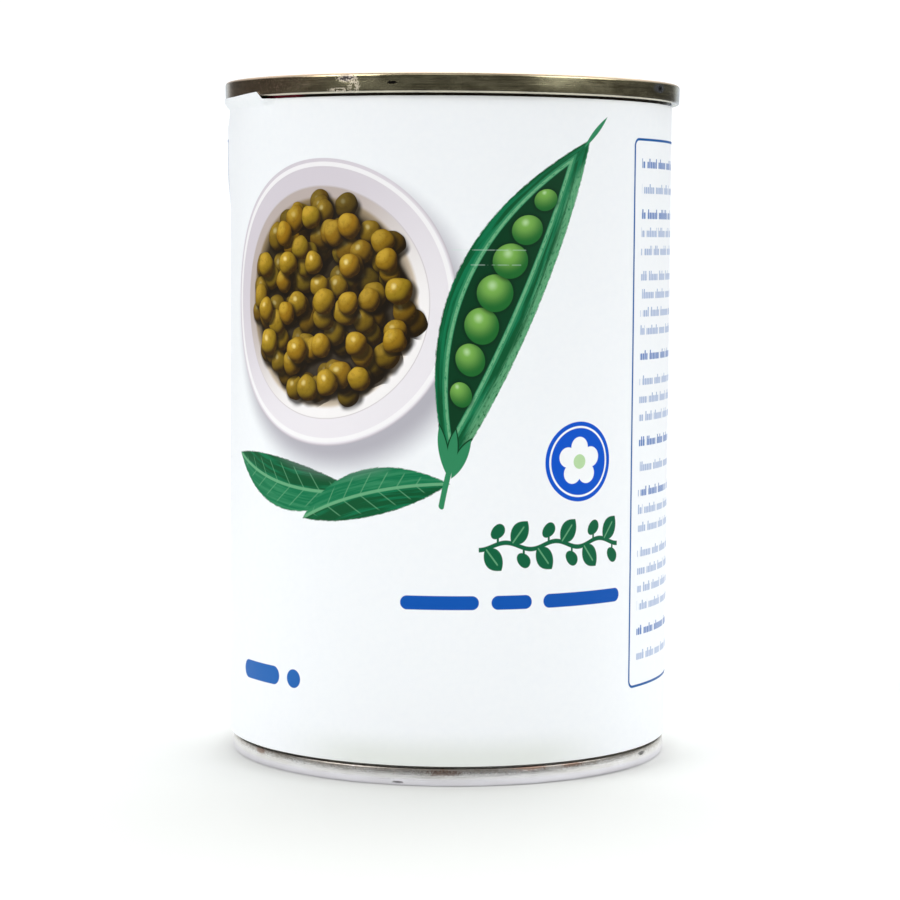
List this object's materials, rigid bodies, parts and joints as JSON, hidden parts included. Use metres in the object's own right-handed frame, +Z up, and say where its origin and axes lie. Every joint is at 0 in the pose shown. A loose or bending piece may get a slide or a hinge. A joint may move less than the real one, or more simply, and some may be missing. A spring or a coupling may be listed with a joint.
{
  "type": "food can with paper label",
  "caption": "Shut cylindrical tinplate food can of peas, with a double-seamed lid at each end, a neck at the foot and a plain-coloured wrapped paper label.",
  "frame": {"origin": "centre of the circle on which the lower seam stands, at the can's foot", "axes": "+Z up along the can's axis; -Y is the front of the label, and +X is to the right of someone who looks at it"},
  "size_m": [0.0756, 0.0756, 0.111],
  "materials": {
    "wall_tinplate": "bright tinplate wall under the paper label",
    "top_end_tinplate": "tinplate lid and seam, slightly dulled and scuffed, with a warm olive tone",
    "bottom_end_tinplate": "tinplate lid and seam, slightly dulled and scuffed",
    "label_paper": "smooth coated white paper with a satin sheen and flat printed shapes"
  },
  "bodies": {
    "root": {"can_body": "wall_tinplate", "top_end": "top_end_tinplate", "bottom_end": "bottom_end_tinplate", "label": "label_paper"}
  },
  "joints": []
}
